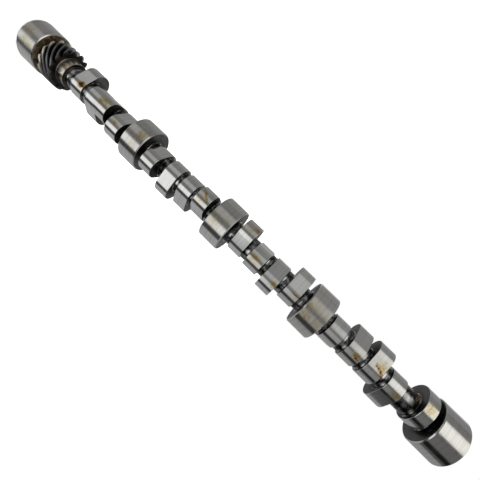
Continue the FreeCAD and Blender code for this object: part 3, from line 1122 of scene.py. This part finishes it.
@dataclass(frozen=True)
class GroundSteel:
    """Hardened steel finished on a cylindrical grinder.

    Grinding leaves fine lines round the shaft, so the eye sees clear bands of light along it, with a
    silky grain across them. Oil that baked on in the engine tints it in patches. The rear journal is
    duller than the others. The lines are a few hundredths of a millimetre apart, too fine to show, so
    they are drawn at 0.12 mm, and a second set of them over a millimetre apart.
    """

    name: str
    colour: str = "#C9C8C5"
    roughness: float = 0.1
    shade: str = "#B4B3B1"
    line: float = 0.12
    line_height: float = 0.0006
    wide_line: float = 1.3
    haze: float = 0.2
    dull_end: tuple[float, float] = (26.0, 32.0)
    dulled: float = 0.09
    smeared: float = 0.07
    baked: float = 0.22

    def make(self) -> bpy.types.Material:
        """Makes the material.

        Returns:
            The new material.
        """
        recipe = Recipe(self.name)
        lines = recipe.noise((30.0, 30.0, self.line), detail=2.0)
        smudge = recipe.noise((9.0, 9.0, 6.0), seed=3.0)
        film = recipe.film(GROUND_STAINS, self.haze)
        wide_lines = recipe.noise((90.0, 90.0, self.wide_line), seed=15.0)
        fine = recipe.between(lines, 0.35, 0.65, 0.0, 0.4)
        grain = recipe.math("ADD", fine, recipe.between(wide_lines, 0.3, 0.7, -0.35, 0.5))
        steel = recipe.blend(grain, self.colour, self.shade)
        tint = recipe.ramp(film, Stain.FILM)
        worn = recipe.between(recipe.height, *self.dull_end, self.dulled, 0.0)
        smeared = recipe.between(smudge, 0.3, 0.7, self.roughness, self.roughness + self.smeared)
        baked = recipe.math("ADD", worn, recipe.math("MULTIPLY", film, self.baked))
        rough = recipe.math("ADD", smeared, baked)
        return recipe.close(
            Base_Color=recipe.blend(1.0, steel, tint, "MULTIPLY"),
            Metallic=recipe.between(film, 0.5, 1.0, 1.0, 0.55),
            Roughness=rough,
            Normal=recipe.bump(lines, self.line_height))


@dataclass(frozen=True)
class TurnedFace:
    """A side or end face left as it came off the lathe, darkened by heat treatment and oil.

    Turning leaves rings round the axis, so the eye sees a dull dark grey with a faint fan of light, and
    painted shade darkens each face towards the core.
    """

    name: str = "turned_steel_face"
    colour: str = "#626160"
    worn: str = "#484746"
    ringed: str = "#7F7E7C"
    # Painted shade: the dark colour laid on each face near the core, and the radii over which it fades out.
    root_shade: str = "#1E1D1C"
    root_shade_reach: tuple[float, float] = (13.5, 18.5)
    crust: tuple[str, str] = ("#685C44", "#33291A")
    haze: float = 0.2
    roughness: float = 0.34
    ring: float = 0.35
    ring_height: float = 0.004

    def make(self) -> bpy.types.Material:
        """Makes the material.

        Returns:
            The new material.
        """
        recipe = Recipe(self.name)
        rings = recipe.rings(self.ring)
        mottle = recipe.noise((5.0, 5.0, 5.0), detail=4.0, seed=1.0)
        film = recipe.film(FACE_STAINS, self.haze)
        worn = recipe.blend(recipe.between(mottle, 0.35, 0.7), self.worn, self.colour)
        ringed = recipe.blend(recipe.between(rings, 0.4, 0.6, 0.0, 0.4), worn, self.ringed)
        # Painted shade: darkest at the inner radius of the reach, gone at its outer radius.
        root_shaded = recipe.blend(recipe.between(recipe.radius, *self.root_shade_reach, 0.6, 0.0), ringed, self.root_shade)
        dried = recipe.between(film, 0.22, 0.45)
        crust = recipe.blend(recipe.between(mottle, 0.38, 0.6), *self.crust)
        return recipe.close(
            Base_Color=recipe.blend(dried, root_shaded, crust),
            Metallic=recipe.math("SUBTRACT", 1.0, recipe.math("MULTIPLY", dried, 0.75)),
            Roughness=recipe.between(mottle, 0.3, 0.7, self.roughness - 0.06, self.roughness + 0.1),
            Normal=recipe.bump(rings, self.ring_height))


@dataclass(frozen=True)
class OilyCore:
    """The core between the collars: turned steel under black oil, with painted glints in a few spots.

    The gaps are narrow and the oil is nearly black, so the eye sees dark gaps with short bright glints,
    some of them painted highlights and some where a clean root mirrors the light, and brown where the
    oil has dried.
    """

    name: str = "oily_steel_core"
    oil: str = "#161514"
    steel: str = "#848485"
    # Colour of the painted glints.
    glint_colour: str = "#DCDCDB"
    dried: tuple[str, str] = ("#7A6250", "#35281E")
    haze: float = 0.4
    roughness: float = 0.12
    coat: tuple[float, float] = (0.4, 0.12)
    ridge_height: float = 0.025

    def make(self) -> bpy.types.Material:
        """Makes the material.

        Returns:
            The new material.
        """
        recipe = Recipe(self.name)
        lumps = recipe.noise((9.0, 9.0, 6.0), detail=2.0, seed=4.0)
        ridges = recipe.noise((40.0, 40.0, 0.9), detail=2.0, seed=6.0)
        mottle = recipe.noise((6.0, 6.0, 4.0), seed=11.0)
        grime = recipe.between(mottle, 0.36, 0.56)
        # Painted glints: bright base colour in the listed spots, where the gaps mirror the soft boxes.
        painted_glints = recipe.cover(CORE_PAINTED_GLINTS, recipe.fray(mottle, GLINT_FRAY))
        film = recipe.film(CORE_STAINS, self.haze)
        stained = recipe.between(film, 0.35, 0.8)
        steel = recipe.blend(painted_glints, recipe.blend(grime, self.steel, self.oil), self.glint_colour)
        rough = recipe.math("ADD", recipe.math("MULTIPLY", lumps, 0.8), recipe.math("MULTIPLY", ridges, 0.2))
        return recipe.close(
            Base_Color=recipe.blend(stained, steel, recipe.blend(grime, *self.dried)),
            Metallic=recipe.math("SUBTRACT", 1.0, recipe.math("MULTIPLY", stained, 0.5)),
            Roughness=recipe.between(mottle, 0.3, 0.6, self.roughness, self.roughness + 0.12),
            coat=self.coat,
            Normal=recipe.bump(rough, self.ridge_height))


@dataclass(frozen=True)
class TurnedHub:
    """The gear's hub: smooth turned steel with brown dried oil, and painted highlights on its -Y side.

    The eye sees a soft brownish sheen with a cream painted highlight, and painted shade as dark lines
    in the corners at both ends.
    """

    name: str = "turned_steel_hub"
    steel: str = "#E0DAD2"
    oil: str = "#B5A195"
    # Painted shade: the dark colour of the corners at both ends of the hub.
    corner: str = "#433C34"
    # Colour of the painted highlights.
    glint_colour: str = "#FFFAF0"
    radius: float = Camshaft.hub_radius
    haze: float = 0.3
    roughness: float = 0.24
    coat: tuple[float, float] = (0.3, 0.12)
    ridge_height: float = 0.003

    def make(self) -> bpy.types.Material:
        """Makes the material.

        Returns:
            The new material.
        """
        recipe = Recipe(self.name)
        ridges = recipe.noise((40.0, 40.0, 0.7), detail=1.0, seed=6.0)
        mottle = recipe.noise((9.0, 9.0, 6.0), detail=2.0, seed=12.0)
        grime = recipe.between(mottle, 0.35, 0.65)
        # Painted highlights on the hub's -Y side: a cream patch and a crescent at its rear edge.
        painted_glints = recipe.cover(HUB_PAINTED_GLINTS, recipe.fray(mottle, GLINT_FRAY))
        # Painted shade: darker wherever the surface leaves the hub's radius, in its corner fillets and front
        # edge, except under the painted highlights.
        off = recipe.math("ABSOLUTE", recipe.math("SUBTRACT", recipe.radius, self.radius))
        corner = recipe.math("MULTIPLY", recipe.between(off, 0.02, 0.14), recipe.math("SUBTRACT", 1.0, painted_glints))
        film = recipe.film(HUB_STAINS, self.haze)
        steel = recipe.blend(grime, self.steel, self.oil)
        steel = recipe.blend(1.0, steel, recipe.ramp(film, Stain.FILM), "MULTIPLY")
        return recipe.close(
            Base_Color=recipe.blend(corner, recipe.blend(painted_glints, steel, self.glint_colour), self.corner),
            Metallic=1.0,
            Roughness=recipe.between(grime, 0.0, 1.0, self.roughness, self.roughness + 0.14),
            coat=self.coat,
            Normal=recipe.bump(ridges, self.ridge_height))


@dataclass(frozen=True)
class HobbedGear:
    """The gear's teeth as the hob left them, darker towards the bottom of the gaps and lighter on the crests.

    The eye sees black gaps, dark steel flanks and narrow grey crest lines that end in cream painted
    highlights at the rear rim. Radii and reaches are in millimetres, and so is the fray.
    """

    name: str = "hobbed_steel_gear"
    root: float = 19.6
    crest: float = 23.3
    rear: float = Gear.start
    rim_reach: tuple[float, float] = (1.5, 6.0)
    rim_depth: float = 1.4
    crest_edge: tuple[float, float] = (-0.15, 0.2)
    ragged: float = 0.8
    flanks: tuple[str, str] = ("#161514", "#4B4A49")
    # Grey of the crest lines, and the cream of the painted highlights where they end at the rear rim.
    crest_and_rim_glint: tuple[str, str] = ("#6C6C6D", "#DAD4C4")
    coat: tuple[float, float] = (0.3, 0.15)
    mottle_height: float = 0.05

    def make(self) -> bpy.types.Material:
        """Makes the material.

        Returns:
            The new material.
        """
        recipe = Recipe(self.name)
        mottle = recipe.noise((2.2, 2.2, 2.2), detail=4.0, seed=7.0)
        frayed = recipe.math("ADD", recipe.radius, recipe.fray(mottle, self.ragged))
        flank = recipe.between(frayed, self.root, self.crest)
        reach = (self.rear + distance for distance in self.rim_reach)
        # Painted highlights: near the rear rim the crest lines widen and turn cream.
        near_rim = recipe.between(recipe.height, *reach, 1.0, 0.0)
        lifted = recipe.math("ADD", frayed, recipe.math("MULTIPLY", near_rim, self.rim_depth))
        crest = recipe.between(lifted, *(self.crest + shift for shift in self.crest_edge))
        steel = recipe.blend(flank, *self.flanks)
        crest_and_glint = recipe.blend(crest, steel, recipe.blend(near_rim, *self.crest_and_rim_glint))
        return recipe.close(
            Base_Color=crest_and_glint,
            Metallic=1.0,
            Roughness=recipe.between(mottle, 0.3, 0.7, 0.2, 0.38),
            coat=self.coat,
            Normal=recipe.bump(mottle, self.mottle_height))


@dataclass(frozen=True)
class HoleWall:
    """The wall of a drilled or tapped hole: rough steel that holds oil, so it is dark brown inside."""

    name: str = "drilled_steel_hole"
    stops: tuple[tuple[float, str], ...] = ((0.3, "#2A2622"), (0.7, "#6C665E"))
    ridge_height: float = 0.02

    def make(self) -> bpy.types.Material:
        """Makes the material.

        Returns:
            The new material.
        """
        recipe = Recipe(self.name)
        mottle = recipe.noise((1.5, 1.5, 1.5), seed=8.0)
        ridges = recipe.noise((20.0, 20.0, 0.25), detail=1.0, seed=2.0)
        return recipe.close(
            Base_Color=recipe.ramp(mottle, self.stops),
            Metallic=1.0,
            Roughness=recipe.between(mottle, 0.3, 0.7, 0.3, 0.5),
            Normal=recipe.bump(ridges, self.ridge_height))


FINISHES = {
    Finish.GROUND_JOURNAL: GroundSteel("ground_steel_journal", haze=0.26),
    Finish.GROUND_LOBE: GroundSteel("ground_steel_lobe", "#D2D2D0", 0.085, "#BEBEBC", haze=0.12),
    Finish.TURNED_FACE: TurnedFace(),
    Finish.OILY_CORE: OilyCore(),
    Finish.TURNED_HUB: TurnedHub(),
    Finish.HOBBED_GEAR: HobbedGear(),
    Finish.DRILLED_HOLE: HoleWall(),
}


# Studio


@dataclass(frozen=True)
class PhotoCamera:
    """The camera of the photo: close, wide and rolled, with places in millimetres."""

    place: tuple[float, float, float] = (-2.6, -321.1, 372.0)
    aim: tuple[float, float, float] = (0.7, 0.0, 328.5)
    roll: float = 134.36
    lens: float = 23.93
    sensor: float = 36.0
    clip: tuple[float, float] = (0.01, 50.0)

    def make(self) -> bpy.types.Object:
        """Adds the camera: it looks from its place at its aim and is rolled about that line.

        Returns:
            The camera's object.
        """
        data = bpy.data.cameras.new("photo_camera")
        data.lens = self.lens
        data.sensor_width = self.sensor
        data.clip_start, data.clip_end = self.clip
        camera = bpy.data.objects.new("photo_camera", data)
        bpy.context.scene.collection.objects.link(camera)
        forward = (Vector(self.aim) - Vector(self.place)).normalized()
        level_right = forward.cross(Vector((0, 0, 1))).normalized()
        level_up = level_right.cross(forward)
        turn = math.radians(self.roll)
        right = math.cos(turn) * level_right + math.sin(turn) * level_up
        up = math.cos(turn) * level_up - math.sin(turn) * level_right
        axes = Matrix((right, up, -forward)).transposed().to_4x4()
        camera.matrix_world = Matrix.Translation(Vector(self.place) * MM) @ axes
        return camera


@dataclass(frozen=True)
class SoftBox:
    """A tall soft panel beside the object, or a dark flag, that is seen only mirrored in the steel.

    Directions are compass angles from +X towards +Y in degrees. The brightness is given for panels
    mirrored from below, from the camera's height and from above.
    """

    name: str
    start: float
    end: float
    edge: float
    low: float
    middle: float
    high: float
    tint: str = "#FFFFFF"


@dataclass(frozen=True)
class Studio:
    """A pale floor, an even soft light on it, and soft boxes all round that the steel mirrors.

    The boxes are painted on the sky; the camera itself sees plain white.
    """

    ambient: SoftBox = SoftBox("ambient", -400, 400, 1, 0.22, 0.24, 0.16)
    boxes: tuple[SoftBox, ...] = (
        SoftBox("left_box", -140, -104, 14, 0.28, 0.2, 0.15),
        SoftBox("high_left_box", -150, -93, 8, 0.0, 0.15, 1.13, "#FFFDF8"),
        SoftBox("left_glow", -184, -152, 9, 0.05, 0.1, 0.1),
        SoftBox("right_strip", -75, -37.5, 12, 1.0, 0.22, 0.02),
        SoftBox("side_wall", -11, 56, 14, 0.3, 0.17, 0.22, "#FAFAFF"),
        SoftBox("side_box", 60, 84, 12, 0.25, 0.25, 0.3),
        SoftBox("rear_wall", 84, 176, 16, 0.12, 0.1, 0.16),
        SoftBox("rear_box", 98, 124, 12, 0.28, 0.28, 0.3),
    )
    flags: tuple[SoftBox, ...] = (
        SoftBox("dark_flag", -34, -8, 8, 0.68, 0.8, 0.92),
        SoftBox("high_dark_flag", -8, 6, 8, 0.0, 0.1, 0.7),
    )
    heights: tuple[float, float, float] = (-0.2, 0.19, 0.57)
    zenith: float = 0.55
    zenith_rise: tuple[float, float] = (0.7, 0.92)
    floor_half: float = 60.0
    floor_colour: tuple[float, float, float, float] = (0.95, 0.95, 0.95, 1)
    lamp_power: float = 3.8
    lamp_spread: float = 70

    def make(self) -> None:
        """Adds the sky, the floor and the light on the floor."""
        world = bpy.data.worlds.new("studio")
        graph = Graph(world)
        bpy.context.scene.world = world
        way = graph.node("ShaderNodeTexCoord").outputs["Generated"]
        parts = graph.node("ShaderNodeSeparateXYZ", {0: way}).outputs
        height = parts["Z"]
        compass = graph.math("DEGREES", graph.math("ARCTAN2", parts["Y"], parts["X"]))

        light = self.add_box(graph, compass, height, self.ambient)
        for box in self.boxes:
            light = graph.vector("ADD", light, self.add_box(graph, compass, height, box))[0]
        for flag in self.flags:
            left = graph.vector("SUBTRACT", (1, 1, 1), self.add_box(graph, compass, height, flag))[0]
            light = graph.vector("MULTIPLY", light, left)[0]
        above = graph.between(height, *self.zenith_rise)
        sky = graph.blend(above, light, (*[self.zenith] * 3, 1))

        soft = graph.node("ShaderNodeBackground", {"Color": sky, "Strength": 1.0})
        white = graph.node("ShaderNodeBackground", {"Color": (1, 1, 1, 1), "Strength": 1.0})
        path = graph.node("ShaderNodeLightPath")
        seen = graph.node("ShaderNodeMixShader", {
            0: path.outputs["Is Camera Ray"], 1: soft.outputs[0], 2: white.outputs[0]})
        graph.node("ShaderNodeOutputWorld", {"Surface": seen.outputs[0]})
        self.add_floor()
        self.add_floor_light()

    def add_box(self, graph: Graph, compass: Socket, height: Socket, box: SoftBox) -> Socket:
        """Adds one soft box to the sky.

        Args:
            graph: the sky's nodes.
            compass: the direction's compass angle in degrees.
            height: the direction's rise, from -1 straight down to 1 straight up.
            box: the panel.

        Returns:
            The panel's light as a colour, black beside it.
        """
        LOG.info("light %s: %g to %g degrees", box.name, box.start, box.end)
        below, level, above = self.heights
        half = box.edge / 2
        rise = graph.between(compass, box.start - half, box.start + half)
        fall = graph.between(compass, box.end - half, box.end + half, 1.0, 0.0)
        window = graph.math("MULTIPLY", rise, fall)
        lower = graph.between(height, below, level, box.low, box.middle)
        upper = graph.between(height, level, above, 0.0, box.high - box.middle)
        power = graph.math("ADD", lower, upper)
        return graph.vector("SCALE", linear(box.tint)[:3], Scale=graph.math("MULTIPLY", window, power))[0]

    def add_floor(self) -> None:
        """Adds a wide pale floor that the steel doesn't mirror."""
        half = self.floor_half
        mesh = bpy.data.meshes.new("floor")
        mesh.from_pydata(
            [(-half, -half, 0), (half, -half, 0), (half, half, 0), (-half, half, 0)], [], [(0, 1, 2, 3)])
        floor = bpy.data.objects.new("floor", mesh)
        bpy.context.scene.collection.objects.link(floor)
        floor.visible_glossy = False
        recipe = Recipe("pale_floor")
        mesh.materials.append(recipe.close(
            Base_Color=self.floor_colour, Roughness=1.0, Specular_IOR_Level=0.0))

    def add_floor_light(self) -> None:
        """Adds an even soft light from above that the steel doesn't mirror."""
        data = bpy.data.lights.new("floor_light", "SUN")
        data.energy = self.lamp_power
        data.angle = math.radians(self.lamp_spread)
        lamp = bpy.data.objects.new("floor_light", data)
        bpy.context.scene.collection.objects.link(lamp)
        lamp.visible_glossy = False


def main() -> None:
    """Builds the camera, the studio and the shaft, and logs what was made."""
    logging.basicConfig(level=logging.INFO, format="%(name)s: %(message)s")
    scene = bpy.context.scene
    scene.view_settings.view_transform = "Standard"
    scene.camera = PhotoCamera().make()
    Studio().make()

    steel = Layout().plan(frame["record"]).build()
    for finish in Finish:
        steel.data.materials.append(FINISHES[finish].make())
    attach(steel, "root")
    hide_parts("camshaft")
    triangles = sum(len(polygon.vertices) - 2 for polygon in steel.data.polygons)
    LOG.info("%s: %d triangles", steel.name, triangles)


if __name__ == "__main__":
    main()
